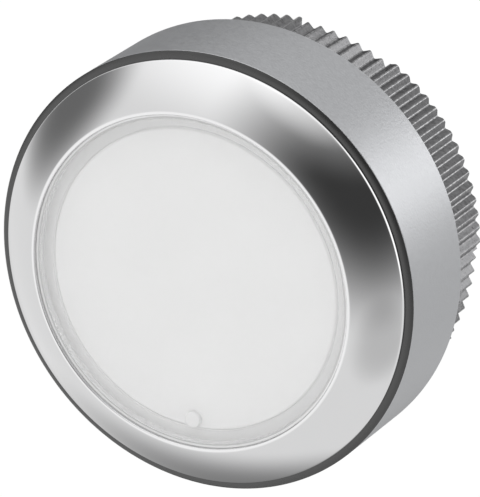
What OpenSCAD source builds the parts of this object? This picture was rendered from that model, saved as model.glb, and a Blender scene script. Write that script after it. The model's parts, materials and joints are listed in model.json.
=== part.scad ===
// Round illuminated push button for a 22 mm panel hole, with a knurled fixing nut.
// Every profile is drawn as [radius, height]: height 0 is the panel's front face and plus is towards the user.

/* [Collar and neck] */
// Major diameter of the neck's thread
thread_d = 22; // [20:0.1:25]
// Wall of the neck, with its thread
neck_wall = 1.4; // [1.2:0.05:1.6]
// Length of the neck behind the panel's front face
neck_len = 8.6; // [8:0.1:10]
// How far the collar reaches out past the thread
collar_overlap = 3.75; // [3.4:0.05:4.5]
// Length of the collar in front of the panel
collar_h = 7.05; // [6.6:0.05:8.5]
// Chamfer on the collar's rear edge
collar_chamfer = 0.15; // [0.05:0.05:0.4]
// Break of the collar's front edge
collar_break = 0.06; // [0.02:0.02:0.1]
// Width of the key that stops the neck turning in the panel
key_w = 3; // [2:0.1:3.2]
// Height of that key above the thread
key_h = 0.9; // [0.5:0.1:1]
// Length of that key behind the panel's front face
key_len = 0.9; // [0.5:0.1:1]
// Length of the bore that guides the carrier
guide_len = 2.8; // [2:0.1:3]
// Width of the shoulder behind that bore, which the hooks catch on
shoulder_w = 1.2; // [1:0.05:1.4]

/* [Front ring] */
// Width of the dark band between the chromed ring and the collar's outside
band_w = 0.5; // [0.3:0.02:0.8]
// Width of the chromed ring's face
face_w = 3.05; // [2.6:0.01:3.4]
// Height of the ring's inner rim above the shadow ring's edge
ring_rise = 2.2; // [1.8:0.05:3]
// Radius of the rounded inner rim
rim_round = 0.2; // [0.1:0.02:0.35]
// Radius of the rounded outer edge
edge_round = 0.06; // [0.04:0.02:0.2]
// How far the sloping face bulges between rim and edge
face_bulge = 0.1; // [0.02:0.02:0.2]
// Wall of the skirt that fits into the collar
skirt_wall = 1.2; // [0.8:0.1:1.4]
// Thickness of the shadow ring at its outer edge
shadow_edge = 0.1; // [0.05:0.05:0.2]
// Rise of the shadow ring's sloping face
shadow_rise = 0.1; // [0.05:0.05:0.4]
// Depth of the shadow ring's foot in the collar
shadow_foot = 0.55; // [0.3:0.05:0.8]
// Width of that foot
shadow_foot_w = 1.2; // [0.6:0.1:1.3]

/* [Button] */
// Travel of the button
travel = 2.4; // [1.5:0.1:2.8]
// Depth of the lens below the ring's rim
lens_recess = 0.25; // [0.1:0.05:0.6]
// Gap between the lens and the ring
lens_gap = 0.15; // [0.1:0.05:0.3]
// Thickness of the lens over the diffuser
lens_t = 0.8; // [0.6:0.05:1]
// Wall of the lens's skirt
lens_wall = 0.8; // [0.6:0.05:1]
// Radius of the lens's top edge
lens_round = 0.25; // [0.1:0.05:0.4]
// Thickness of the diffuser
diffuser_t = 0.8; // [0.5:0.1:1]
// Diameter of the nub that locates the diffuser in the lens
nub_d = 1.1; // [0.6:0.05:1.4]
// Height of that nub
nub_h = 0.4; // [0.1:0.05:0.5]
// Distance between that nub and the diffuser's edge
nub_inset = 0.06; // [0.04:0.02:0.6]
// Depth of the bead that snaps the lens onto the carrier
bead_depth = 0.15; // [0.05:0.05:0.25]
// Height of the carrier's platform under the diffuser
platform_h = 1.3; // [1:0.1:1.6]
// Thickness of the carrier's flange
flange_t = 0.8; // [0.6:0.1:1]
// Wall of the carrier's guide tube
tube_wall = 1; // [0.8:0.1:1.2]
// Height of the ledge that the spring pushes on
ledge_h = 1; // [0.8:0.1:1.2]
// Width of that ledge
ledge_w = 1.7; // [1.4:0.1:2.2]
// Height of each snap hook
hook_h = 0.9; // [0.6:0.1:1]
// Number of snap hooks
hook_count = 3; // [2:1:4]
// Thickness of the seal
seal_t = 0.6; // [0.4:0.1:0.8]
// Depth of the seal's lip below its flat part
seal_lip = 0.55; // [0.3:0.05:0.7]
// Width of the seal's lip
seal_lip_w = 0.75; // [0.5:0.05:0.9]
// Wire diameter of the return spring
wire_d = 0.6; // [0.4:0.05:0.7]
// Number of turns of the return spring
spring_turns = 6; // [4:1:8]

/* [Contacts and lamp] */
// Thickness of the contact bridge
bridge_t = 0.4; // [0.3:0.05:0.5]
// Diameter of the silver contact tips
tip_d = 1.2; // [0.8:0.05:1.4]
// Height of the moving tips
bridge_tip_h = 0.3; // [0.2:0.05:0.4]
// Height of the fixed tips
fixed_tip_h = 0.45; // [0.3:0.05:0.6]
// Thickness of the base's flange
base_t = 0.8; // [0.6:0.05:1]
// How far the base stands out behind the neck
base_out = 1.2; // [0.8:0.1:2]
// Room between the spring and the pillar that carries the lamp
pillar_gap = 1.4; // [0.8:0.1:1.6]
// Height of that pillar
pillar_h = 2.5; // [1.5:0.1:3]
// Thickness of the retaining ring
clip_t = 0.4; // [0.3:0.05:0.5]
// Width of the retaining ring
clip_w = 0.9; // [0.7:0.05:1.2]
// Wall of the neck behind the retaining ring
clip_wall = 0.5; // [0.4:0.05:0.8]
// Width of the blades
blade_w = 2.8; // [2:0.1:3]
// Thickness of the blades
blade_t = 0.5; // [0.4:0.05:0.6]
// How far the blades stand out behind the base
blade_out = 3.4; // [2:0.1:4]
// Thickness of the fixed contacts' feet
foot_t = 0.3; // [0.2:0.05:0.4]
// Thickness of the lamp's board
board_t = 0.8; // [0.6:0.1:1]
// Side of the lamp's square package
lamp_side = 3.2; // [2.4:0.1:3.6]
// Height of that package
lamp_h = 0.7; // [0.5:0.05:0.9]
// Length of the resistor
resistor_l = 1.6; // [1.2:0.1:2]
// Distance between the lamp blades and the axis
lamp_blade_y = 3.1; // [2.7:0.1:3.3]

/* [Gasket, washer and nut] */
// Thickness of the panel gasket
gasket_t = 0.8; // [0.5:0.1:1]
// Width of the panel gasket
gasket_w = 2.45; // [1.8:0.05:2.6]
// Room left for the panel in front of the washer
panel_room = 1.2; // [1:0.1:2]
// Thickness of the lock washer
washer_t = 0.5; // [0.3:0.05:0.7]
// Width of the lock washer
washer_w = 1.75; // [1.4:0.05:2]
// Number of teeth on the lock washer
washer_teeth = 16; // [8:1:24]
// Wall of the nut, from its bore to the tips of its teeth
nut_wall = 2.38; // [1.8:0.02:2.8]
// Height of the nut
nut_h = 4; // [3:0.1:4.5]
// Number of teeth round the nut
nut_teeth = 90; // [60:1:100]
// Depth of those teeth
tooth_h = 0.32; // [0.2:0.02:0.5]
// Width of the narrow flats on the crests and in the roots of those teeth
tooth_flat = 0.1; // [0.05:0.01:0.2]
// Chamfer at both ends of those teeth
tooth_chamfer = 0.1; // [0.05:0.01:0.25]
// Number of steps cut in the nut's rear edge
step_count = 4; // [3:1:6]
// Width of each step in degrees
step_deg = 29.4; // [16:0.2:40]
// Turn of the steps against the teeth in degrees
step_shift = 0.7; // [-2:0.1:2]
// Depth of each step
step_h = 0.7; // [0.4:0.1:1.2]
// Turn of the nut in degrees
nut_turn = 72.8; // [0:0.1:90]
// Chamfer at both ends of the nut's bore
nut_chamfer = 0.4; // [0.2:0.05:0.6]

/* [Hidden] */

$fn = 96;
eps = 0.05;

// Clearances between pieces
seat_gap = 0.03;
run_gap = 0.05;
slide_gap = 0.1;
lip_gap = 0.07;
stop_gap = 0.2;

// Radii of the housing and the front ring
thread_r = thread_d / 2;
neck_bore_r = thread_r - neck_wall;
collar_r = thread_r + collar_overlap;
ring_edge_r = collar_r - band_w;
ring_bore_r = ring_edge_r - face_w;
skirt_r = ring_bore_r + skirt_wall;
cavity_r = skirt_r + seat_gap;
rebate_r = cavity_r + shadow_foot_w;

// Heights at the front
shadow_z = collar_h + shadow_edge;
ring_seat_z = shadow_z + shadow_rise;
rim_z = shadow_z + ring_rise;

// The button's stack, from the lens down
lens_top_z = rim_z - lens_recess;
diffuser_top_z = lens_top_z - lens_t;
platform_z = diffuser_top_z - diffuser_t;
flange_top_z = platform_z - platform_h;
flange_z = flange_top_z - flange_t;
ledge_z = flange_z - ledge_h;
lens_r = ring_bore_r - lens_gap;
lens_inner_r = lens_r - lens_wall;
diffuser_r = lens_inner_r - slide_gap;
flange_r = lens_r - run_gap;
guide_r = neck_bore_r - shoulder_w;
tube_r = guide_r - slide_gap;
tube_inner_r = tube_r - tube_wall;
well_r = tube_inner_r - ledge_w;
well_top_r = diffuser_r - tube_wall;

// Floor of the collar, the guide bore and the seal's seat
seal_top_z = flange_z - travel - stop_gap;
floor_z = seal_top_z - seal_t;
guide_z = floor_z - guide_len;
lip_inner_r = tube_r + lip_gap;
lip_seat_r = lip_inner_r + seal_lip_w + run_gap;
hook_z = guide_z - run_gap;
hook_r = guide_r + shoulder_w / 2;
hook_deg = 24;
hook_slot_w = 0.7;
rib_w = 1.2;
rib_r = guide_r + shoulder_w / 2;
rib_top_z = floor_z - seal_lip - stop_gap;

// Base at the end of the neck, from the retaining ring forward
clip_z = clip_wall - neck_len;
base_rear_z = clip_z + clip_t;
base_floor_z = base_rear_z + base_t;
base_r = neck_bore_r - run_gap;
clip_groove_r = neck_bore_r + clip_w / 2;
clip_inner_r = clip_groove_r - clip_w;
base_boss_r = clip_inner_r - slide_gap;
base_end_z = -neck_len - base_out;
blade_end_z = base_end_z - blade_out;
pillar_top_z = base_floor_z + pillar_h;

// Contacts: the bridge's tips meet the fixed tips at the end of the travel
contact_gap = travel + run_gap;
foot_top_z = base_floor_z + foot_t;
fixed_tip_z = foot_top_z + fixed_tip_h;
bridge_tip_z = fixed_tip_z + contact_gap;
bridge_z = bridge_tip_z + bridge_tip_h;
tube_end_z = bridge_z + bridge_t;
bridge_inner_r = tube_inner_r + run_gap;
bridge_outer_r = hook_r;
contact_r = (bridge_inner_r + bridge_outer_r) / 2;

// Return spring between the base and the carrier's ledge
spring_r = tube_inner_r - stop_gap - wire_d;
spring_low_z = base_floor_z + wire_d / 2 + seat_gap;
spring_high_z = ledge_z - wire_d / 2 - seat_gap;
spring_steps = 20;
pillar_r = spring_r - wire_d / 2 - pillar_gap;
wire_sides = 8;

// Fixed contacts stand just outside the spring
foot_inner_x = spring_r + wire_d / 2 + stop_gap;
foot_outer_x = base_r - stop_gap;

// Lamp
board_r = pillar_r - slide_gap;
board_top_z = pillar_top_z + board_t;
dome_r = lamp_side * 0.42;
resistor_w = resistor_l / 2;
resistor_h = 0.45;
lamp_blade_w = blade_w / 2;

// Gasket, washer and nut on the neck
nut_bore_r = thread_r + run_gap;
gasket_r = nut_bore_r + gasket_w;
washer_front_z = -panel_room;
nut_front_z = washer_front_z - washer_t;
nut_rear_z = nut_front_z - nut_h;
nut_r = nut_bore_r + nut_wall;
tooth_flat_deg = asin(tooth_flat / 2 / nut_r);
washer_r = nut_bore_r + washer_w;
washer_tooth_h = 0.8;

function arc(centre, r, from, to, steps) = [
    for (i = [0 : steps])
        let (a = from + (to - from) * i / steps)
        centre + r * [cos(a), sin(a)]
];

// Points between two ends on a shallow curve, without the ends
function bulged(a, b, bulge, steps) =
    let (along = b - a, out = [-along[1], along[0]] / norm(along))
    [
        for (i = [1 : steps - 1])
            let (t = i / steps)
            a + along * t + out * bulge * 4 * t * (1 - t)
    ];

// Turns height along +Z to face the user along -Y, with the part's up along +Z
module facing() {
    rotate([90, 0, 0]) children();
}

module turned(points) {
    rotate_extrude() polygon(points);
}

module tube_between(inner, outer, low, high) {
    rotate_extrude() translate([inner, low]) square([outer - inner, high - low]);
}

// Copies round the axis, the first at angle start
module around(count, start = 0) {
    for (i = [0 : count - 1]) rotate(start + i * 360 / count) children();
}

module on_both_sides() {
    children();
    rotate(180) children();
}

module box_between(low, high) {
    translate(low) cube(high - low);
}

module panel_key(grow, low) {
    box_between(
        [-key_w / 2 - grow, thread_r - neck_wall / 2, low],
        [key_w / 2 + grow, thread_r + key_h + grow, gasket_t + eps]
    );
}

// Slot in the guide bore for the rib that keeps the carrier from turning
module rib_between(w, r, low, high) {
    box_between([-w / 2, -r, low], [w / 2, -tube_r + tube_wall / 2, high]);
}

// Die-cast collar and threaded neck in one piece
module housing() {
    neck_lead = 0.4;
    color("silver") facing() difference() {
        union() {
            turned([
                [neck_bore_r, -neck_len],
                [thread_r - neck_lead, -neck_len],
                [thread_r, neck_lead - neck_len],
                [thread_r, gasket_t],
                [gasket_r + slide_gap, gasket_t],
                [gasket_r + slide_gap, 0],
                [collar_r - collar_chamfer, 0],
                [collar_r, collar_chamfer],
                [collar_r, collar_h - collar_break],
                [collar_r - collar_break, collar_h],
                [rebate_r, collar_h],
                [rebate_r, collar_h - shadow_foot],
                [cavity_r, collar_h - shadow_foot],
                [cavity_r, floor_z],
                [lip_seat_r, floor_z],
                [lip_seat_r, floor_z - seal_lip],
                [guide_r, floor_z - seal_lip],
                [guide_r, guide_z],
                [neck_bore_r, guide_z],
                [neck_bore_r, base_rear_z],
                [clip_groove_r, base_rear_z],
                [clip_groove_r, clip_z],
                [neck_bore_r, clip_z]
            ]);
            panel_key(0, -key_len);
        }
        rib_between(rib_w + 2 * slide_gap, rib_r + slide_gap, guide_z - eps, floor_z - seal_lip + eps);
    }
}

// Chromed ring: a skirt in the collar and a sloping face that ends in two rounded edges
module front_ring() {
    arc_steps = 8;
    rim_centre = [ring_bore_r + rim_round, rim_z - rim_round];
    edge_centre = [ring_edge_r - edge_round, ring_seat_z + edge_round];
    chord = edge_centre - rim_centre;
    chord_deg = atan2(chord[1], chord[0]) + 90;
    lean_deg = atan(4 * face_bulge / norm(chord));
    rim = arc(rim_centre, rim_round, 180, chord_deg + lean_deg, arc_steps);
    edge = arc(edge_centre, edge_round, chord_deg - lean_deg, -90, arc_steps);
    face = bulged(rim[arc_steps], edge[0], face_bulge, arc_steps);
    color("gainsboro") facing() turned(concat(
        [[ring_bore_r, seal_top_z]],
        rim,
        face,
        edge,
        [[skirt_r, ring_seat_z], [skirt_r, seal_top_z]]
    ));
}

// Dark ring whose sloping face shows between the chromed ring and the collar
module shadow_ring() {
    foot_inner_r = cavity_r + seat_gap;
    foot_outer_r = rebate_r - seat_gap;
    color("dimgray") facing() turned([
        [foot_inner_r, collar_h - shadow_foot],
        [foot_outer_r, collar_h - shadow_foot],
        [foot_outer_r, collar_h],
        [collar_r, collar_h],
        [collar_r, shadow_z],
        [ring_edge_r - edge_round, ring_seat_z],
        [foot_inner_r, ring_seat_z]
    ]);
}

// Nub at the lower edge of the diffuser, or the pocket for it in the lens
module nub(d, h) {
    nub_y = nub_d / 2 + nub_inset - diffuser_r;
    translate([0, nub_y, diffuser_top_z - eps]) cylinder(d = d, h = h + eps);
}

// Profile of the snap bead inside the lens's skirt, or of its groove in the carrier, from the top down
function bead(r) =
    let (z = (platform_z + flange_top_z) / 2)
    [[r, z + bead_depth], [r - bead_depth, z], [r, z - bead_depth]];

// Clear cap with a skirt round the diffuser
module lens_cap() {
    arc_steps = 6;
    color("white", 0.5) facing() difference() {
        turned(concat(
            [[0, diffuser_top_z], [lens_inner_r, diffuser_top_z]],
            bead(lens_inner_r),
            [[lens_inner_r, flange_top_z], [lens_r, flange_top_z]],
            arc([lens_r - lens_round, lens_top_z - lens_round], lens_round, 0, 90, arc_steps),
            [[0, lens_top_z]]
        ));
        nub(nub_d + 2 * run_gap, nub_h + run_gap);
    }
}

// Opal disc that spreads the light under the lens
module diffuser_disc() {
    color("white") facing() union() {
        translate([0, 0, platform_z]) cylinder(r = diffuser_r, h = diffuser_t);
        nub(nub_d, nub_h);
    }
}

module snap_hook() {
    rotate(-hook_deg / 2) rotate_extrude(angle = hook_deg) polygon([
        [tube_r - tube_wall / 2, hook_z],
        [hook_r, hook_z],
        [hook_r, hook_z - hook_h / 3],
        [tube_r, hook_z - hook_h],
        [tube_r - tube_wall / 2, hook_z - hook_h]
    ]);
}

// Slots on both sides of a hook, so that its leg can bend inwards
module hook_slots() {
    for (side = [-1, 1]) rotate(side * (hook_deg / 2 + 6)) box_between(
        [tube_inner_r - eps, -hook_slot_w / 2, tube_end_z - eps],
        [tube_r + eps, hook_slot_w / 2, guide_z + guide_len / 3]
    );
}

// Moulded plunger: a platform for the diffuser, a light well and a guide tube with snap hooks
module button_carrier() {
    color("whitesmoke") facing() difference() {
        union() {
            turned(concat(
                [[tube_inner_r, ledge_z], [well_r, ledge_z], [well_r, flange_z]],
                [[well_top_r, platform_z], [diffuser_r, platform_z]],
                bead(diffuser_r),
                [[diffuser_r, flange_top_z], [flange_r, flange_top_z], [flange_r, flange_z]],
                [[tube_r, flange_z], [tube_r, tube_end_z], [tube_inner_r, tube_end_z]]
            ));
            around(hook_count, 90) snap_hook();
            rib_between(rib_w, rib_r, tube_end_z, rib_top_z);
        }
        around(hook_count, 90) hook_slots();
    }
}

// Rubber seal clamped under the front ring's skirt, with a lip on the guide tube
module button_seal() {
    color("black") facing() turned([
        [lip_inner_r, floor_z - seal_lip],
        [lip_inner_r + seal_lip_w, floor_z - seal_lip],
        [lip_inner_r + seal_lip_w, floor_z],
        [skirt_r, floor_z],
        [skirt_r, seal_top_z],
        [lip_inner_r, seal_top_z]
    ]);
}

// Height of the spring's wire at a turn, with one closed turn at each end
function wire_z(turn) =
    let (low = spring_low_z + wire_d, high = spring_high_z - wire_d)
    turn < 1 ? spring_low_z + wire_d * turn
    : turn > spring_turns - 1 ? high + wire_d * (turn - spring_turns + 1)
    : low + (high - low) * (turn - 1) / (spring_turns - 2);

function wire_ring(turn) = [
    for (k = [0 : wire_sides - 1])
        let (a = k * 360 / wire_sides, r = spring_r + wire_d / 2 * cos(a))
        [r * cos(turn * 360), r * sin(turn * 360), wire_z(turn) + wire_d / 2 * sin(a)]
];

// Steel compression spring, swept along its coil
module return_spring() {
    rings = spring_turns * spring_steps;
    last = rings * wire_sides;
    points = [for (i = [0 : rings]) each wire_ring(i / spring_steps)];
    sides = [
        for (i = [0 : rings - 1], k = [0 : wire_sides - 1])
            let (a = i * wire_sides + k, b = i * wire_sides + (k + 1) % wire_sides)
            [a, b, b + wire_sides, a + wire_sides]
    ];
    caps = [
        [for (k = [wire_sides - 1 : -1 : 0]) k],
        [for (k = [0 : wire_sides - 1]) last + k]
    ];
    color("lightsteelblue") facing() polyhedron(points, concat(sides, caps));
}

// Brass ring on the end of the guide tube
module contact_bridge() {
    color("goldenrod") facing() difference() {
        tube_between(bridge_inner_r, bridge_outer_r, bridge_z, tube_end_z);
        rib_between(rib_w, bridge_outer_r + eps, tube_end_z - eps / 2, tube_end_z + eps);
    }
}

module tips_between(low, high) {
    color("lightgray") facing() on_both_sides()
        translate([contact_r, 0, low]) cylinder(d = tip_d, h = high - low);
}

// Silver tips that move with the bridge
module bridge_tips() {
    tips_between(bridge_tip_z, bridge_z);
}

// Silver tips on the fixed contacts
module contact_tips() {
    tips_between(foot_top_z, fixed_tip_z);
}

// Blade of a fixed contact, or the slot for it
module contact_blade(grow, low, high) {
    box_between(
        [foot_inner_x - grow, -blade_w / 2 - grow, low],
        [foot_inner_x + blade_t + grow, blade_w / 2 + grow, high]
    );
}

// Two fixed contacts, each with a foot on the base and a blade out of its rear
module contact_terminals() {
    color("gold") facing() on_both_sides() union() {
        contact_blade(0, blade_end_z, foot_top_z);
        box_between([foot_inner_x, -blade_w / 2, base_floor_z], [foot_outer_x, blade_w / 2, foot_top_z]);
    }
}

// Blade of the lamp, or the slot for it
module lamp_blade(grow, low, high) {
    box_between(
        [-lamp_blade_w / 2 - grow, lamp_blade_y - blade_t / 2 - grow, low],
        [lamp_blade_w / 2 + grow, lamp_blade_y + blade_t / 2 + grow, high]
    );
}

// Two blades that feed the lamp's board
module led_terminals() {
    color("gold") facing() on_both_sides() lamp_blade(0, blade_end_z, pillar_top_z);
}

// Insulating base that closes the neck and carries the contacts and the lamp
module contact_base() {
    barrier_w = 0.9;
    barrier_h = 1;
    color("#2a2a2c") facing() difference() {
        union() {
            turned([
                [0, base_end_z],
                [base_boss_r, base_end_z],
                [base_boss_r, base_rear_z],
                [base_r, base_rear_z],
                [base_r, base_floor_z],
                [pillar_r, base_floor_z],
                [pillar_r, pillar_top_z],
                [0, pillar_top_z]
            ]);
            on_both_sides() box_between(
                [(pillar_r + foot_inner_x - barrier_w) / 2, -pillar_r, base_end_z - barrier_h],
                [(pillar_r + foot_inner_x + barrier_w) / 2, pillar_r, base_end_z + eps]
            );
        }
        on_both_sides() {
            contact_blade(seat_gap, base_end_z - eps, base_floor_z + eps);
            lamp_blade(seat_gap, base_end_z - eps, pillar_top_z + eps);
        }
    }
}

// Open snap ring in the groove behind the base
module base_retaining_ring() {
    open_deg = 40;
    color("slategray") facing() rotate(open_deg / 2 - 90) rotate_extrude(angle = 360 - open_deg)
        translate([clip_inner_r, clip_z]) square([clip_w - seat_gap, clip_t]);
}

// Round board under the lamp
module led_board() {
    color("seagreen") facing() translate([0, 0, pillar_top_z]) cylinder(r = board_r, h = board_t);
}

// Square lamp package with a clear dome
module led_lamp() {
    color("lightyellow") facing() union() {
        box_between(
            [-lamp_side / 2, -lamp_side / 2, board_top_z],
            [lamp_side / 2, lamp_side / 2, board_top_z + lamp_h]
        );
        intersection() {
            translate([0, 0, board_top_z + lamp_h]) sphere(r = dome_r);
            translate([0, 0, board_top_z + lamp_h - eps]) cylinder(r = dome_r + eps, h = dome_r + 2 * eps);
        }
    }
}

// Chip resistor beside the lamp
module series_resistor() {
    edge_y = lamp_side / 2 + stop_gap;
    color("#202020") facing() box_between(
        [-resistor_l / 2, edge_y, board_top_z],
        [resistor_l / 2, edge_y + resistor_w, board_top_z + resistor_h]
    );
}

// Flat rubber ring in the collar's rear recess, notched for the key
module panel_gasket() {
    color("#303030") facing() difference() {
        tube_between(thread_r + run_gap, gasket_r, 0, gasket_t);
        panel_key(slide_gap, -eps);
    }
}

// Toothed washer between the panel and the nut
module lock_washer() {
    color("lightgray") facing() difference() {
        tube_between(nut_bore_r, washer_r, nut_front_z, washer_front_z);
        around(washer_teeth) box_between(
            [washer_r - washer_tooth_h, -washer_tooth_h / 2, nut_front_z - eps],
            [washer_r + eps, washer_tooth_h / 2, washer_front_z + eps]
        );
    }
}

// Outline of the nut: V teeth with narrow flats, crests at even steps and roots at odd ones
function tooth_points() = [
    for (i = [0 : 2 * nut_teeth - 1], side = [-1, 1])
        let (a = i * 180 / nut_teeth + side * tooth_flat_deg, r = nut_r - (i % 2) * tooth_h)
        r * [cos(a), sin(a)]
];

// Knurled fixing nut with a stepped rear edge for a ring spanner
module ring_nut() {
    lead_r = nut_bore_r + nut_chamfer;
    color("darkgray") facing() rotate(nut_turn) difference() {
        intersection() {
            translate([0, 0, nut_rear_z]) linear_extrude(nut_h) polygon(tooth_points());
            turned([
                [0, nut_rear_z - eps],
                [nut_r - tooth_chamfer - eps, nut_rear_z - eps],
                [nut_r + eps, nut_rear_z + tooth_chamfer + eps],
                [nut_r + eps, nut_front_z - tooth_chamfer - eps],
                [nut_r - tooth_chamfer - eps, nut_front_z + eps],
                [0, nut_front_z + eps]
            ]);
        }
        turned([
            [0, nut_rear_z - eps],
            [lead_r, nut_rear_z - eps],
            [lead_r, nut_rear_z],
            [nut_bore_r, nut_rear_z + nut_chamfer],
            [nut_bore_r, nut_front_z - nut_chamfer],
            [lead_r, nut_front_z],
            [lead_r, nut_front_z + eps],
            [0, nut_front_z + eps]
        ]);
        around(step_count, step_shift - step_deg / 2) rotate_extrude(angle = step_deg)
            translate([nut_bore_r - eps, nut_rear_z - eps]) square([nut_r - nut_bore_r + 1, step_h + eps]);
    }
}

housing();
front_ring();
shadow_ring();
lens_cap();
diffuser_disc();
button_carrier();
button_seal();
return_spring();
contact_bridge();
bridge_tips();
contact_tips();
contact_terminals();
contact_base();
base_retaining_ring();
led_board();
led_lamp();
series_resistor();
led_terminals();
panel_gasket();
lock_washer();
ring_nut();
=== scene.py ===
"""Looks of the illuminated push button: fine meshes, finishes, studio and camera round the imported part.

Profiles are (radius, height) in millimetres. Height 0 is the panel's front face, and plus is towards
the user.
"""
import json
import math
from collections import namedtuple

import bmesh
import bpy
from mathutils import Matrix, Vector


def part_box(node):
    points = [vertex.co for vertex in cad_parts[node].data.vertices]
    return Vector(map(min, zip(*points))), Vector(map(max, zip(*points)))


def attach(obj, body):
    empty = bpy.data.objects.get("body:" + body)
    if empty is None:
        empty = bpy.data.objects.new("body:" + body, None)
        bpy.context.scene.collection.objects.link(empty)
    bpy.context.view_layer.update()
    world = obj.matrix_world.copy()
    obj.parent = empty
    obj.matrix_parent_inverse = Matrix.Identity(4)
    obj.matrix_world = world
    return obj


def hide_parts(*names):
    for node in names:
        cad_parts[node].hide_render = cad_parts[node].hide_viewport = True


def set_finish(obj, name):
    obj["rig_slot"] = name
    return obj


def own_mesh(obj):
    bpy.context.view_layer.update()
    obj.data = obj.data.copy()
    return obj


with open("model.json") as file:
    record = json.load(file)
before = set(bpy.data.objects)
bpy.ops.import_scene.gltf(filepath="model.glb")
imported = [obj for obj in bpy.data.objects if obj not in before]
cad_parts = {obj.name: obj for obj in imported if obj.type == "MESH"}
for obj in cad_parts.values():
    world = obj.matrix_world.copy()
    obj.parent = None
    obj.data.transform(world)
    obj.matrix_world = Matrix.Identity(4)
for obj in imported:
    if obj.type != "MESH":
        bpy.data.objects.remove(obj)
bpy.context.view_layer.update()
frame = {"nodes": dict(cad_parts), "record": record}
nodes = frame["nodes"]

MM = 0.001

# Steps of a full turn and of arcs and curves, the angle of a sharp edge, and the distances at which points
# and thin faces merge, in metres
SEGMENTS = 288
NUB_SEGMENTS = 48
FACE_STEPS = 24
BEND_STEPS = 12
DISC_STEPS = 10
EDGE_STEPS = 8
SMALL_STEPS = 6
SHARP = math.radians(28)
MERGE_DISTANCE = 1e-7
THIN_DISTANCE = 1e-8


# Sizes read from the frame

def reach(node):
    """Outer radius, front height and rear height of a round CAD node, in millimetres."""
    low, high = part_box(node)
    return high.x / MM, -low.y / MM, -high.y / MM


collar_r, collar_h, neck_rear = reach("housing")
ring_edge_r, rim_front, ring_rear = reach("front_ring")
_, ring_seat, shadow_rear = reach("shadow_ring")
lens_r, lens_front, lens_rear = reach("lens_cap")
diffuser_r, nub_front, diffuser_rear = reach("diffuser_disc")
gasket_r, gasket_front, _ = reach("panel_gasket")
nut_r, nut_front, nut_rear = reach("ring_nut")
spring_r, spring_front, spring_rear = reach("return_spring")
seal_front = reach("button_seal")[1]

# Sizes that the boxes don't give: lengths in millimetres, angles in degrees, and the thread's flank and root
# as shares of its pitch
LENS_GAP = 0.15
RIM_ROUND = 0.4
RIM_BORE_ROUND = 0.08
EDGE_ROUND = 0.06
EDGE_TOP_ROUND = 0.25
FACE_BULGE = 0.1
SKIRT_WALL = 1.2
SEAT_GAP = 0.03
SLIDE_GAP = 0.1
SHADOW_FOOT_W = 1.2
BAND_EDGE = 0.03
BAND_BULGE = 0.04
LENS_T = 0.8
LENS_WALL = 0.8
LIP_W = 0.12
LIP_ROUND = 0.01
FLAT_EDGE = 0.03
FROST_DROP = 0.12
FROST_SEAM = 0.01
FROST_GAP = 0.02
SLEEVE_OUT = 0.145
BEAD_DEPTH = 0.15
DISC_ROUND = 0.2
NUB_D = 1.1
NUB_INSET = 0.06
NUB_ROUND = 0.12
COLLAR_CHAMFER = 0.15
COLLAR_BREAK = 0.06
THREAD_R = 11.0
THREAD_PITCH = 1.5
THREAD_DEPTH = 0.6
THREAD_FLANK = 1 / 3
THREAD_ROOT = 2 / 15
KEY_W = 3.0
KEY_H = 0.9
KEY_LEN = 0.9
KEY_ROUND = 0.12
NECK_LEAD = 0.4
NECK_BORE_R = 9.6
GUIDE_R = 8.4
GUIDE_REAR = -0.6
LIP_SEAT_R = 9.17
SEAL_T = 0.6
SEAL_LIP = 0.55
CLIP_GROOVE_R = 10.05
CLIP_REAR = -8.1
CLIP_T = 0.4
NUT_BORE_R = 11.05
NUT_CHAMFER = 0.4
NUT_TEETH = 90
NUT_TURN = 72.8
TOOTH_H = 0.32
TOOTH_FLAT = 0.1
TOOTH_CHAMFER = 0.1
# Depth of the lighter bands at the nut's crests and roots: painted highlight, and wear at the crests
LIGHT_LINE_DEPTH = 0.03
STEP_COUNT = 4
STEP_DEG = 29.4
STEP_SHIFT = 0.7
STEP_H = 0.7
WIRE_D = 0.6
SPRING_TURNS = 6


# Mesh tools

def place(r, h, theta):
    """Point at a radius, height and angle, in the frame's metres."""
    return Vector((r * math.cos(theta), -h, r * math.sin(theta))) * MM


def arc(centre, r, start, end, steps):
    """Points on an arc between two angles in degrees."""
    angles = [math.radians(start + (end - start) * i / steps) for i in range(steps + 1)]
    return [(centre[0] + r * math.cos(a), centre[1] + r * math.sin(a)) for a in angles]


def bulged(a, b, bulge, steps):
    """Points between two ends on a shallow curve, without the ends."""
    along = Vector(b) - Vector(a)
    out = Vector((-along.y, along.x)).normalized()
    ts = [i / steps for i in range(1, steps)]
    return [tuple(Vector(a) + along * t + out * bulge * 4 * t * (1 - t)) for t in ts]


def mesh_object(name, bm, body, slot, replaced=None):
    """Makes an object from a bmesh, with smooth faces between sharp edges, riding on a body."""
    bmesh.ops.remove_doubles(bm, verts=bm.verts, dist=MERGE_DISTANCE)
    bmesh.ops.dissolve_degenerate(bm, edges=bm.edges, dist=THIN_DISTANCE)
    bmesh.ops.recalc_face_normals(bm, faces=bm.faces)
    mesh = bpy.data.meshes.new(name)
    bm.to_mesh(mesh)
    bm.free()
    mesh.polygons.foreach_set("use_smooth", [True] * len(mesh.polygons))
    mesh.set_sharp_from_angle(angle=SHARP)
    obj = bpy.data.objects.new(name, mesh)
    bpy.context.scene.collection.objects.link(obj)
    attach(obj, body)
    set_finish(obj, slot)
    if replaced:
        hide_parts(replaced)
    return obj


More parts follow.
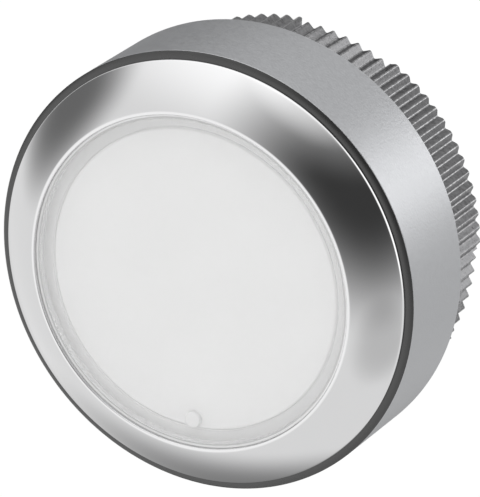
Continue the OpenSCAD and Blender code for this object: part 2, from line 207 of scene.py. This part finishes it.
def skin_columns(columns, capped=False):
    """Joins neighbouring columns of points into a ring of quads, closed along them or by two flat caps."""
    bm = bmesh.new()
    rows = len(columns[0])
    verts = [[bm.verts.new(p) for p in column] for column in columns]
    for i, column in enumerate(verts):
        after = verts[(i + 1) % len(verts)]
        for k in range(rows - 1 if capped else rows):
            n = (k + 1) % rows
            bm.faces.new((column[k], after[k], after[n], column[n]))
    if capped:
        bm.faces.new([column[0] for column in verts])
        bm.faces.new([column[-1] for column in verts])
    return bm


def lathe(profile, shift=None, segments=SEGMENTS):
    """Turns a closed profile, or one between two points on the axis. shift changes a point by its angle."""
    capped = profile[0][0] == 0
    outline = profile[1:-1] if capped else profile
    columns = []
    for i in range(segments):
        theta = 2 * math.pi * i / segments
        points = [shift(r, h, theta) if shift else (r, h) for r, h in outline]
        columns.append([place(r, h, theta) for r, h in points])
    return skin_columns(columns, capped)


# Pieces

lens_inner_r = lens_r - LENS_WALL
window_r = lens_r - LIP_W
diffuser_front = lens_front - LENS_T
frost_front = diffuser_front - FROST_DROP
ring_bore_r = lens_r + LENS_GAP
skirt_r = ring_bore_r + SKIRT_WALL
cavity_r = skirt_r + SEAT_GAP
nub_z = NUB_D / 2 + NUB_INSET - diffuser_r


def front_ring():
    """Chromed ring with a sloping face between two rounded edges."""
    crest_r = ring_bore_r + RIM_BORE_ROUND
    rim_centre = Vector((crest_r, rim_front - RIM_ROUND))
    edge_h = ring_seat + EDGE_ROUND
    edge_centre = Vector((ring_edge_r - EDGE_TOP_ROUND, edge_h))
    chord = edge_centre - rim_centre
    face_turn = math.acos((RIM_ROUND - EDGE_TOP_ROUND) / chord.length)
    face_deg = math.degrees(math.atan2(chord.y, chord.x) + face_turn)
    lean = math.degrees(math.atan(4 * FACE_BULGE / chord.length))
    bore = arc((crest_r, rim_front - RIM_BORE_ROUND), RIM_BORE_ROUND, 180, 90, EDGE_STEPS)
    rim = arc(rim_centre, RIM_ROUND, 90, face_deg + lean, BEND_STEPS)
    edge = arc(edge_centre, EDGE_TOP_ROUND, face_deg - lean, 0, BEND_STEPS)
    under = arc((ring_edge_r - EDGE_ROUND, edge_h), EDGE_ROUND, 0, -90, EDGE_STEPS)
    face = bulged(rim[-1], edge[0], FACE_BULGE, FACE_STEPS)
    inside = [(skirt_r, ring_seat), (skirt_r, ring_rear)]
    profile = [(ring_bore_r, ring_rear)] + bore[:-1] + rim + face + edge[:-1] + under + inside
    return mesh_object("chromed_ring", lathe(profile), "head", "polished_chrome", "front_ring")


def shadow_ring():
    """Dark ring that shows as a band between the chromed ring and the collar."""
    inner = cavity_r + SEAT_GAP
    outer = cavity_r + SHADOW_FOOT_W - SEAT_GAP
    band_low = (collar_r, collar_h + BAND_EDGE)
    band_top = (ring_edge_r - EDGE_ROUND, ring_seat)
    profile = [
        (inner, shadow_rear),
        (outer, shadow_rear),
        (outer, collar_h),
        (collar_r, collar_h),
        band_low,
        *bulged(band_low, band_top, -BAND_BULGE, BEND_STEPS),
        band_top,
        (inner, ring_seat),
    ]
    return mesh_object("dark_ring", lathe(profile), "head", "dark_plastic", "shadow_ring")


def thread_groove(h, theta):
    """Depth of the thread at a height and angle: flat crests, sloping flanks and narrow roots."""
    from_root = abs((h / THREAD_PITCH + theta / (2 * math.pi)) % 1.0 - 0.5)
    share = min(1.0, max(0.0, 1 - (from_root - THREAD_ROOT / 2) / THREAD_FLANK))
    run_in = min(1.0, max(0.0, (h - neck_rear - NECK_LEAD) / NECK_LEAD))
    run_out = min(1.0, max(0.0, (-h - NECK_LEAD) / NECK_LEAD))
    return THREAD_DEPTH * share * min(run_in, run_out)


def housing():
    """Collar and threaded neck in one casting."""
    rebate = cavity_r + SHADOW_FOOT_W
    floor = seal_front - SEAL_T
    rows = 72
    low = neck_rear + NECK_LEAD
    neck = [(THREAD_R, low + (gasket_front - low) * i / rows) for i in range(rows + 1)]
    profile = [(NECK_BORE_R, neck_rear), (THREAD_R - NECK_LEAD, neck_rear)] + neck + [
        (gasket_r + SLIDE_GAP, gasket_front),
        (gasket_r + SLIDE_GAP, 0),
        (collar_r - COLLAR_CHAMFER, 0),
        (collar_r, COLLAR_CHAMFER),
        (collar_r, collar_h - COLLAR_BREAK),
        (collar_r - COLLAR_BREAK, collar_h),
        (rebate, collar_h),
        (rebate, shadow_rear),
        (cavity_r, shadow_rear),
        (cavity_r, floor),
        (LIP_SEAT_R, floor),
        (LIP_SEAT_R, floor - SEAL_LIP),
        (GUIDE_R, floor - SEAL_LIP),
        (GUIDE_R, GUIDE_REAR),
        (NECK_BORE_R, GUIDE_REAR),
        (NECK_BORE_R, CLIP_REAR + CLIP_T),
        (CLIP_GROOVE_R, CLIP_REAR + CLIP_T),
        (CLIP_GROOVE_R, CLIP_REAR),
        (NECK_BORE_R, CLIP_REAR),
    ]

    def threaded(r, h, theta):
        """Sinks the points on the neck's outside into the thread."""
        return (r - thread_groove(h, theta), h) if r == THREAD_R else (r, h)

    return mesh_object("collar_and_neck", lathe(profile, threaded), "head", "satin_metal", "housing")


def panel_key():
    """Key on the neck that stops it turning in the panel, with rounded edges."""
    bm = bmesh.new()
    bmesh.ops.create_cube(bm, size=1)
    size = Vector((KEY_W, KEY_LEN + gasket_front, 2 * KEY_H)) * MM
    centre = Vector((0, (KEY_LEN - gasket_front) / 2, THREAD_R)) * MM
    for v in bm.verts:
        v.co = Vector((v.co.x * size.x, v.co.y * size.y, v.co.z * size.z)) + centre
    bmesh.ops.bevel(bm, geom=bm.edges[:], offset=KEY_ROUND * MM, segments=3, affect="EDGES")
    return mesh_object("neck_key", bm, "head", "satin_metal")


def bead(r):
    """Snap bead inside the lens's skirt, from the front down."""
    middle = (diffuser_rear + lens_rear) / 2
    return [(r, middle + BEAD_DEPTH), (r - BEAD_DEPTH, middle), (r, middle - BEAD_DEPTH)]


def lens_cap():
    """Clear window of the cap, set in its frosted skirt."""
    inside = [(0, diffuser_front), (lens_inner_r, diffuser_front)]
    foot = [(lens_inner_r, frost_front), (window_r, frost_front)]
    face = [(window_r, lens_front), (window_r - FLAT_EDGE, lens_front), (0, lens_front)]
    bm = lathe(inside + foot + face)
    return mesh_object("clear_lens", bm, "button", "clear_plastic", "lens_cap")


def lens_skirt():
    """Frosted skirt close round the disc, with a lip round the clear window and the snap bead inside."""
    top = frost_front - FROST_SEAM
    near_r = diffuser_r + FROST_GAP
    sleeve_r = lens_r + SLEEVE_OUT
    lip_inner_r = window_r + FROST_SEAM
    lip = arc((sleeve_r - LIP_ROUND, lens_front - LIP_ROUND), LIP_ROUND, 0, 90, SMALL_STEPS)
    profile = [
        (near_r, top),
        (near_r, diffuser_rear),
        (lens_inner_r, diffuser_rear),
        *bead(lens_inner_r),
        (lens_inner_r, lens_rear),
        (lens_r, lens_rear),
        (lens_r, diffuser_rear),
        (sleeve_r, diffuser_rear + SLEEVE_OUT),
        *lip,
        (lip_inner_r, lens_front),
        (lip_inner_r, top),
    ]
    return mesh_object("frosted_skirt", lathe(profile), "button", "clear_plastic", "lens_cap")


def diffuser_disc():
    """Opal disc with softened edges."""
    r = diffuser_r
    front = diffuser_front - FROST_SEAM
    edge = arc((r - DISC_ROUND, front - DISC_ROUND), DISC_ROUND, 0, 90, DISC_STEPS)
    face = [(r - DISC_ROUND - FLAT_EDGE, front), (0, front)]
    profile = [(0, diffuser_rear), (r, diffuser_rear)] + edge + face
    return mesh_object("opal_disc", lathe(profile), "button", "opal_plastic", "diffuser_disc")


def diffuser_nub():
    """Short round nub near the disc's lower edge, with a rounded front."""
    r = NUB_D / 2
    low = diffuser_front - SLIDE_GAP
    top = arc((r - NUB_ROUND, nub_front - NUB_ROUND), NUB_ROUND, 0, 90, SMALL_STEPS)
    bm = lathe([(0, low), (r, low)] + top + [(0, nub_front)], segments=NUB_SEGMENTS)
    for v in bm.verts:
        v.co.z += nub_z * MM
    return mesh_object("opal_nub", bm, "button", "opal_plastic")


def in_step(deg):
    """True where the nut's rear edge is cut back."""
    pitch = 360 / STEP_COUNT
    return abs((deg - STEP_SHIFT + pitch / 2) % pitch - pitch / 2) < STEP_DEG / 2


def nut_column(deg, r):
    """Section of the nut at one angle, from the front of its bore round to the rear of its bore."""
    end_r = min(r, nut_r - TOOTH_CHAMFER)
    stepped = in_step(deg)
    rear = nut_rear + (STEP_H if stepped else 0)
    rear_r = r if stepped else end_r
    section = [
        (NUT_BORE_R, nut_front - NUT_CHAMFER),
        (NUT_BORE_R + NUT_CHAMFER, nut_front),
        (end_r, nut_front),
        (r, nut_front - (r - end_r)),
        (r, rear + (r - rear_r)),
        (rear_r, rear),
        (NUT_BORE_R + NUT_CHAMFER, rear),
        (NUT_BORE_R, rear + NUT_CHAMFER),
    ]
    return [place(x, h, math.radians(deg + NUT_TURN)) for x, h in section]


def tooth_stops():
    """Angles and radii along the outline of the teeth, with rounded crests and roots."""
    steps = SMALL_STEPS
    half_pitch = math.pi * nut_r / NUT_TEETH
    slope = math.atan(TOOTH_H / (half_pitch - TOOTH_FLAT))
    fillet = TOOTH_FLAT / 2 * math.tan(slope) / (1 / math.cos(slope) - 1)
    turns = [slope * (2 * i / steps - 1) for i in range(steps + 1)]
    bend = [(fillet * math.sin(a), fillet * (1 - math.cos(a))) for a in turns]
    chamfer_s = TOOTH_FLAT / 2 + TOOTH_CHAMFER / math.tan(slope)
    crest = [(s, nut_r - drop) for s, drop in bend]
    root = [(half_pitch + s, nut_r - TOOTH_H + drop) for s, drop in bend]
    chamfer_r = nut_r - TOOTH_CHAMFER
    one_tooth = [(-chamfer_s, chamfer_r)] + crest + [(chamfer_s, chamfer_r)] + root
    degrees = math.degrees(1 / nut_r)
    pitch_deg = 360 / NUT_TEETH
    return [(i * pitch_deg + s * degrees, r) for i in range(NUT_TEETH) for s, r in one_tooth]


def ring_nut():
    """Knurled nut: straight V teeth, and a rear edge cut back in steps."""
    stops = tooth_stops()
    closed = stops + [(stops[0][0] + 360, stops[0][1])]
    step_edges = [i * 360 / STEP_COUNT + STEP_SHIFT + side * STEP_DEG / 2
                  for i in range(STEP_COUNT) for side in (-1, 1)]

    def radius(deg):
        """Radius on the straight flank between two stops."""
        turned = (deg - stops[0][0]) % 360 + stops[0][0]
        for (a, ra), (b, rb) in zip(closed, closed[1:]):
            if a <= turned <= b:
                return ra + (rb - ra) * (turned - a) / (b - a)

    # The wall of a step stands between two columns that are a hair apart, in degrees
    hair = 1e-4
    walls = [((edge + side * hair) % 360, radius(edge)) for edge in step_edges for side in (-1, 1)]
    columns = sorted([(deg % 360, r) for deg, r in stops] + walls)
    points = [nut_column(deg, r) for deg, r in columns]
    return mesh_object("knurled_nut", skin_columns(points), "nut", "nut_metal", "ring_nut")


def return_spring():
    """Coil with one closed turn at each end."""
    steps, sides = 40, 12
    mean_r = spring_r - WIRE_D / 2
    low = spring_rear + WIRE_D / 2
    high = spring_front - WIRE_D / 2
    open_rise = (high - low - 2 * WIRE_D) / (SPRING_TURNS - 2)
    bm = bmesh.new()
    rings = []
    for i in range(SPRING_TURNS * steps + 1):
        turn = i / steps
        if turn < 1:
            h = low + WIRE_D * turn
        elif turn > SPRING_TURNS - 1:
            h = high - WIRE_D * (SPRING_TURNS - turn)
        else:
            h = low + WIRE_D + open_rise * (turn - 1)
        ring = []
        for k in range(sides):
            a = 2 * math.pi * k / sides
            r = mean_r + WIRE_D / 2 * math.cos(a)
            ring.append(bm.verts.new(place(r, h + WIRE_D / 2 * math.sin(a), 2 * math.pi * turn)))
        rings.append(ring)
    for a, b in zip(rings, rings[1:]):
        for k in range(sides):
            n = (k + 1) % sides
            bm.faces.new((a[k], b[k], b[n], a[n]))
    bm.faces.new(rings[0])
    bm.faces.new(rings[-1])
    spring = mesh_object("coil_spring", bm, "head", "spring_steel", "return_spring")
    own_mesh(spring)
    return spring


# Finishes

# Middle of a noise, which a finish stretches over its whole range
NOISE_LOW = 0.3
NOISE_HIGH = 0.7


def new_material(name, colour, roughness, metallic=0.0):
    """Material with one Principled shader. Returns the material, its tree and the shader."""
    material = bpy.data.materials.new(name)
    material.use_nodes = True
    tree = material.node_tree
    shader = tree.nodes["Principled BSDF"]
    shader.inputs["Base Color"].default_value = (*colour, 1)
    shader.inputs["Roughness"].default_value = roughness
    shader.inputs["Metallic"].default_value = metallic
    return material, tree, shader


def math_node(tree, operation, a, b):
    """Math node on two inputs, each a socket or a number."""
    node = tree.nodes.new("ShaderNodeMath")
    node.operation = operation
    for socket, value in zip(node.inputs, (a, b)):
        if isinstance(value, (int, float)):
            socket.default_value = value
        else:
            tree.links.new(value, socket)
    return node.outputs[0]


def mix_shaders(tree, share, first, second, output):
    """Mixes two shaders by a share from 0 to 1, into an output node."""
    mix = tree.nodes.new("ShaderNodeMixShader")
    tree.links.new(share, mix.inputs["Fac"])
    tree.links.new(first, mix.inputs[1])
    tree.links.new(second, mix.inputs[2])
    tree.links.new(mix.outputs["Shader"], tree.nodes[output].inputs["Surface"])


def noise(tree, size_mm, detail=4.0):
    """Noise with features of about that size, in the piece's own coordinates."""
    position = tree.nodes.new("ShaderNodeTexCoord")
    texture = tree.nodes.new("ShaderNodeTexNoise")
    texture.inputs["Scale"].default_value = 1 / (size_mm * MM)
    texture.inputs["Detail"].default_value = detail
    tree.links.new(position.outputs["Object"], texture.inputs["Vector"])
    return texture.outputs["Fac"]


def axis_distance(tree):
    """Distance from the object's axis, in metres."""
    position = tree.nodes.new("ShaderNodeTexCoord")
    across = tree.nodes.new("ShaderNodeVectorMath")
    across.operation = "MULTIPLY"
    across.inputs[1].default_value = (1, 0, 1)
    radius = tree.nodes.new("ShaderNodeVectorMath")
    radius.operation = "LENGTH"
    tree.links.new(position.outputs["Object"], across.inputs[0])
    tree.links.new(across.outputs["Vector"], radius.inputs[0])
    return radius.outputs["Value"]


def ranged(tree, value, low, high, from_low=NOISE_LOW, from_high=NOISE_HIGH):
    """Maps a span of values, as a rule the middle of a noise, to the range from low to high."""
    node = tree.nodes.new("ShaderNodeMapRange")
    node.inputs["From Min"].default_value = from_low
    node.inputs["From Max"].default_value = from_high
    node.inputs["To Min"].default_value = low
    node.inputs["To Max"].default_value = high
    tree.links.new(value, node.inputs["Value"])
    return node.outputs["Result"]


def vary_roughness(tree, shader, value, low, high):
    """Roughness between two levels, by a noise."""
    tree.links.new(ranged(tree, value, low, high), shader.inputs["Roughness"])


def vary_colour(tree, shader, value, dark, light):
    """Base colour between two colours, by a noise."""
    ramp = tree.nodes.new("ShaderNodeValToRGB")
    first, last = ramp.color_ramp.elements
    first.position = NOISE_LOW
    first.color = (*dark, 1)
    last.position = NOISE_HIGH
    last.color = (*light, 1)
    tree.links.new(value, ramp.inputs["Fac"])
    tree.links.new(ramp.outputs["Color"], shader.inputs["Base Color"])


def add_bump(tree, shader, value, depth_mm):
    """Bumps of a depth, by a noise."""
    bump = tree.nodes.new("ShaderNodeBump")
    bump.inputs["Strength"].default_value = 1.0
    bump.inputs["Distance"].default_value = depth_mm * MM
    tree.links.new(value, bump.inputs["Height"])
    tree.links.new(bump.outputs["Normal"], shader.inputs["Normal"])


def tint(tree, share, colour):
    """Mixes a second colour into a finish, by a share from 0 to 1."""
    base = tree.nodes["Principled BSDF"].inputs["Base Color"]
    mix = tree.nodes.new("ShaderNodeMixRGB")
    mix.inputs["Color2"].default_value = (*colour, 1)
    tree.links.new(base.links[0].from_socket, mix.inputs["Color1"])
    tree.links.new(share, mix.inputs["Fac"])
    tree.links.new(mix.outputs["Color"], base)


def grey(level, blue=0.0):
    """Grey of a level, with a little more blue where the metal has it."""
    return (level, level, level + blue)


def finish(name, dark, light, rough, grain_mm, bump_mm, metallic=0.0, patch_mm=2.0):
    """Plain finish with patches of colour and roughness and a fine bumped grain."""
    material, tree, shader = new_material(name, light, rough[0], metallic)
    patches = noise(tree, patch_mm)
    vary_colour(tree, shader, patches, dark, light)
    vary_roughness(tree, shader, patches, *rough)
    add_bump(tree, shader, noise(tree, grain_mm), bump_mm)
    return material


def chrome():
    """Polished plating with faint patches of haze and very shallow waves."""
    plating = grey(0.62, 0.004)
    material, tree, shader = new_material("polished_chrome", plating, roughness=0.08, metallic=1.0)
    vary_roughness(tree, shader, noise(tree, size_mm=1.6, detail=6.0), low=0.06, high=0.11)
    add_bump(tree, shader, noise(tree, size_mm=2.5, detail=2.0), depth_mm=0.0006)
    return material


def satin_metal():
    """Satin plating over a casting: fine grain, faint mottling."""
    dark = (0.467, 0.473, 0.486)
    light = (0.483, 0.49, 0.503)
    return finish("satin_metal", dark, light, rough=(0.39, 0.45), grain_mm=0.18, bump_mm=0.014,
                  metallic=1.0, patch_mm=0.3)


def nut_metal():
    """Dull plating, with broken lines of painted highlight along the crests and roots of the teeth, which at
    the crests also stand for wear.
    """
    material = finish("nut_metal", grey(0.15, 0.004), grey(0.24, 0.005), rough=(0.26, 0.36),
                      grain_mm=0.16, bump_mm=0.014, metallic=1.0, patch_mm=0.25)
    tree = material.node_tree
    radius = axis_distance(tree)
    root_r = nut_r - TOOTH_H
    crest = ranged(tree, radius, 0, 1, (nut_r - LIGHT_LINE_DEPTH) * MM, nut_r * MM)
    root = ranged(tree, radius, 1, 0, root_r * MM, (root_r + LIGHT_LINE_DEPTH) * MM)
    # Painted highlight: lighter colour in thin bands at the crests and at the roots; at the crests it also
    # stands for wear
    wear_and_highlight = math_node(tree, "MAXIMUM", crest, root)
    broken = ranged(tree, noise(tree, size_mm=0.3), low=0.2, high=1.0, from_low=0.4, from_high=0.6)
    tint(tree, math_node(tree, "MULTIPLY", wear_and_highlight, broken), grey(0.43, 0.006))
    return material


def clear_plastic():
    """Slightly hazy moulding that lets lamp light through to the disc below."""
    material, tree, shader = new_material("clear_plastic", grey(0.94), roughness=0.13)
    shader.inputs["Transmission Weight"].default_value = 0.75
    shader.inputs["IOR"].default_value = 1.49
    vary_roughness(tree, shader, noise(tree, size_mm=3.0), low=0.1, high=0.16)
    path = tree.nodes.new("ShaderNodeLightPath")
    lit = math_node(tree, "MAXIMUM", path.outputs["Is Shadow Ray"], path.outputs["Is Diffuse Ray"])
    through = tree.nodes.new("ShaderNodeBsdfTransparent")
    mix_shaders(tree, lit, shader.outputs["BSDF"], through.outputs["BSDF"], "Material Output")
    return material


def frosted_plastic():
    """Satin face of the clear moulding, painted lighter at its outer edge as a glow of the light that leaves
    it there.
    """
    material = finish("frosted_plastic", grey(0.57), grey(0.61), rough=(0.5, 0.65), grain_mm=0.15,
                      bump_mm=0.004, patch_mm=3.0)
    tree = material.node_tree
    inner, outer = (lens_r - FROST_SEAM) * MM, (lens_r + FROST_SEAM) * MM
    # Painted glow: near-white colour on the outer edge of the lip
    tint(tree, ranged(tree, axis_distance(tree), 0, 1, inner, outer), grey(0.92))
    return material


def opal_plastic():
    """White moulding that light enters a little way."""
    material = finish("opal_plastic", grey(0.74), grey(0.77), rough=(0.45, 0.55), grain_mm=0.2,
                      bump_mm=0.002, patch_mm=5.0)
    shader = material.node_tree.nodes["Principled BSDF"]
    shader.inputs["Subsurface Weight"].default_value = 0.15
    shader.inputs["Subsurface Radius"].default_value = (0.6, 0.6, 0.6)
    shader.inputs["Subsurface Scale"].default_value = 0.6 * MM
    return material


def dark_plastic():
    """Dark glossy ring."""
    material = finish("dark_plastic", grey(0.012), grey(0.016), rough=(0.24, 0.32), grain_mm=0.1,
                      bump_mm=0.002)
    material.node_tree.nodes["Principled BSDF"].inputs["IOR"].default_value = 1.65
    return material


INNER_FINISHES = {
    "white_plastic": dict(
        dark=grey(0.78), light=grey(0.84), rough=(0.35, 0.5), grain_mm=0.2, bump_mm=0.004),
    "black_rubber": dict(
        dark=grey(0.022), light=grey(0.034), rough=(0.65, 0.85), grain_mm=0.15, bump_mm=0.01),
    "black_plastic": dict(
        dark=grey(0.026), light=grey(0.04), rough=(0.4, 0.55), grain_mm=0.12, bump_mm=0.006),
    "spring_steel": dict(
        dark=grey(0.48), light=grey(0.58), rough=(0.22, 0.36), grain_mm=0.12, bump_mm=0.002, metallic=1.0),
    "contact_brass": dict(
        dark=(0.68, 0.50, 0.22), light=(0.80, 0.64, 0.33), rough=(0.24, 0.4), grain_mm=0.15, bump_mm=0.003,
        metallic=1.0),
    "contact_silver": dict(
        dark=grey(0.72), light=grey(0.84), rough=(0.2, 0.32), grain_mm=0.15, bump_mm=0.002, metallic=1.0),
    "board_laminate": dict(
        dark=(0.03, 0.17, 0.08), light=(0.05, 0.24, 0.12), rough=(0.25, 0.4), grain_mm=0.25, bump_mm=0.004),
    "lamp_resin": dict(
        dark=(0.80, 0.70, 0.34), light=(0.9, 0.82, 0.45), rough=(0.12, 0.2), grain_mm=0.3, bump_mm=0.002),
    "resistor_ceramic": dict(
        dark=grey(0.04), light=grey(0.06), rough=(0.4, 0.5), grain_mm=0.1, bump_mm=0.003),
}

materials = {
    "satin_metal": satin_metal(),
    "polished_chrome": chrome(),
    "dark_plastic": dark_plastic(),
    "clear_plastic": clear_plastic(),
    "opal_plastic": opal_plastic(),
    "nut_metal": nut_metal(),
}
for slot_name, look in INNER_FINISHES.items():
    materials[slot_name] = finish(slot_name, **look)


def dress(obj, material):
    """Gives an object one material."""
    obj.data.materials.clear()
    obj.data.materials.append(material)


new_pieces = [
    front_ring(),
    shadow_ring(),
    housing(),
    panel_key(),
    lens_cap(),
    diffuser_disc(),
    diffuser_nub(),
    ring_nut(),
    return_spring(),
]
for piece in new_pieces:
    dress(piece, materials[piece["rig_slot"]])
frosted = lens_skirt()
dress(frosted, frosted_plastic())
for subpart in frame["record"]["subparts"]:
    nodes[subpart["node"]].material_slots[0].material = materials[subpart["material_slot"]]


# Studio

# Distance of the floor below the collar in millimetres, its side in metres and its share of plain white
FLOOR_DROP = 60.0
FLOOR_SIZE = 3.0
FLOOR_WHITE = 0.85

# Level of the plain sky, and the soft lamps (plus) and dark flags (minus) in it, as the metal shows them.
# A lobe has the direction of its middle, the half angles of its soft edge and of its even middle, all in
# degrees, and the level that it adds.
SKY_LEVEL = 1.06
Lobe = namedtuple("Lobe", "azimuth elevation edge middle level")
SKY_LOBES = {
    "front_flag": Lobe(azimuth=39, elevation=25, edge=57, middle=12, level=-1.0),
    "left_flag": Lobe(azimuth=-83, elevation=14, edge=29, middle=0, level=-0.86),
    "overhead_lamp": Lobe(azimuth=-10, elevation=86, edge=67, middle=10, level=0.56),
    "low_flag": Lobe(azimuth=-148, elevation=-66, edge=38, middle=0, level=-0.77),
    "rear_flag": Lobe(azimuth=180, elevation=5, edge=62, middle=0, level=-0.6),
    "left_rear_flag": Lobe(azimuth=-146, elevation=-6, edge=42, middle=0, level=-0.55),
    "front_lamp": Lobe(azimuth=-27, elevation=-18, edge=46, middle=22, level=0.32),
    "right_lamp": Lobe(azimuth=97, elevation=18, edge=40, middle=12, level=0.9),
    "upper_right_lamp": Lobe(azimuth=25, elevation=57, edge=24, middle=0, level=0.51),
    "low_right_flag": Lobe(azimuth=47, elevation=-32, edge=18, middle=0, level=-0.31),
}


def toward(azimuth, elevation):
    """Direction from the object. Azimuth 0 is straight in front of it and 90 to its right."""
    a, e = math.radians(azimuth), math.radians(elevation)
    return Vector((math.sin(a) * math.cos(e), -math.cos(a) * math.cos(e), math.sin(e)))


def sky_level(tree):
    """Brightness of the sky in a direction: its level with the lobes added."""
    direction = tree.nodes.new("ShaderNodeTexCoord").outputs["Generated"]
    total = SKY_LEVEL
    for lobe in SKY_LOBES.values():
        dot = tree.nodes.new("ShaderNodeVectorMath")
        dot.operation = "DOT_PRODUCT"
        dot.inputs[1].default_value = toward(lobe.azimuth, lobe.elevation)
        tree.links.new(direction, dot.inputs[0])
        fade = tree.nodes.new("ShaderNodeMapRange")
        fade.interpolation_type = "SMOOTHSTEP"
        fade.inputs["From Min"].default_value = math.cos(math.radians(lobe.edge))
        fade.inputs["From Max"].default_value = math.cos(math.radians(lobe.middle))
        fade.inputs["To Max"].default_value = lobe.level
        tree.links.new(dot.outputs["Value"], fade.inputs["Value"])
        total = math_node(tree, "ADD", fade.outputs["Result"], total)
    return math_node(tree, "MAXIMUM", total, 0.0)


def shows_white(tree):
    """1 for the rays that see the studio as plain white: those of the camera and those through glass."""
    path = tree.nodes.new("ShaderNodeLightPath")
    return math_node(tree, "MAXIMUM", path.outputs["Is Camera Ray"], path.outputs["Is Transmission Ray"])


def make_world():
    """White for the camera and through glass, and the sky's lobes for light and reflections."""
    world = bpy.data.worlds.new("studio")
    bpy.context.scene.world = world
    world.use_nodes = True
    tree = world.node_tree
    sky = tree.nodes["Background"]
    sky.inputs["Color"].default_value = (1, 1, 1, 1)
    tree.links.new(sky_level(tree), sky.inputs["Strength"])
    white = tree.nodes.new("ShaderNodeBackground")
    white.inputs["Color"].default_value = (1, 1, 1, 1)
    share = shows_white(tree)
    mix_shaders(tree, share, sky.outputs["Background"], white.outputs["Background"], "World Output")


def make_floor():
    """Pale floor that shows white and keeps part of the shadow. Metal shows the sky in its place."""
    material, tree, shader = new_material("floor_white", grey(0.9), roughness=0.9)
    glow = tree.nodes.new("ShaderNodeEmission")
    share = math_node(tree, "MULTIPLY", shows_white(tree), FLOOR_WHITE)
    mix_shaders(tree, share, shader.outputs["BSDF"], glow.outputs["Emission"], "Material Output")
    bpy.ops.mesh.primitive_plane_add(size=FLOOR_SIZE, location=(0, 0, -(collar_r + FLOOR_DROP) * MM))
    floor = bpy.context.object
    floor.name = "floor"
    floor.data.materials.append(material)
    floor.visible_glossy = False


def softbox(name, direction, distance, size, radiance, in_metal):
    """Square area lamp that faces the object, in metres. in_metal says whether reflections show it."""
    lamp = bpy.data.lights.new(name, "AREA")
    lamp.shape = "SQUARE"
    lamp.size = size
    lamp.energy = radiance * math.pi * size * size
    obj = bpy.data.objects.new(name, lamp)
    bpy.context.scene.collection.objects.link(obj)
    obj.location = direction * distance
    obj.rotation_euler = direction.to_track_quat("Z", "Y").to_euler()
    obj.visible_glossy = in_metal


make_world()
make_floor()
softbox("key_softbox", toward(40, 20), distance=0.5, size=0.3, radiance=0.3, in_metal=False)
softbox("rear_softbox", toward(147, 13), distance=0.4, size=0.165, radiance=1.75, in_metal=True)


# Camera at the photo's angle, with a long lens

# Angles in degrees, distances in metres, the focal length and the picture's width in pixels, and the
# sensor's width in millimetres
AZIMUTH = 27.5
ELEVATION = 21.2
CAMERA_DISTANCE = 0.325
NEAR_LIMIT = 0.01
FOCAL_PX = 5102.0
IMAGE_W = 480
SENSOR_W = 36.0

# Point in the middle of the picture, in millimetres: a height on the axis, then to the right and up
AIM_HEIGHT = 7.0
AIM_RIGHT = 2.21
AIM_UP = 1.49


def make_camera():
    """Camera that looks at the aim point from the photo's side."""
    right = toward(AZIMUTH + 90, 0)
    near = toward(AZIMUTH, ELEVATION)
    up = near.cross(right)
    data = bpy.data.cameras.new("camera")
    data.sensor_fit = "HORIZONTAL"
    data.sensor_width = SENSOR_W
    data.lens = FOCAL_PX / IMAGE_W * SENSOR_W
    data.clip_start = NEAR_LIMIT
    camera = bpy.data.objects.new("camera", data)
    bpy.context.scene.collection.objects.link(camera)
    aim = Vector((0, -AIM_HEIGHT, 0)) * MM + (right * AIM_RIGHT + up * AIM_UP) * MM
    camera.location = aim + near * CAMERA_DISTANCE
    camera.rotation_euler = near.to_track_quat("Z", "Y").to_euler()
    bpy.context.scene.camera = camera


make_camera()
bpy.context.scene.view_settings.view_transform = "Standard"
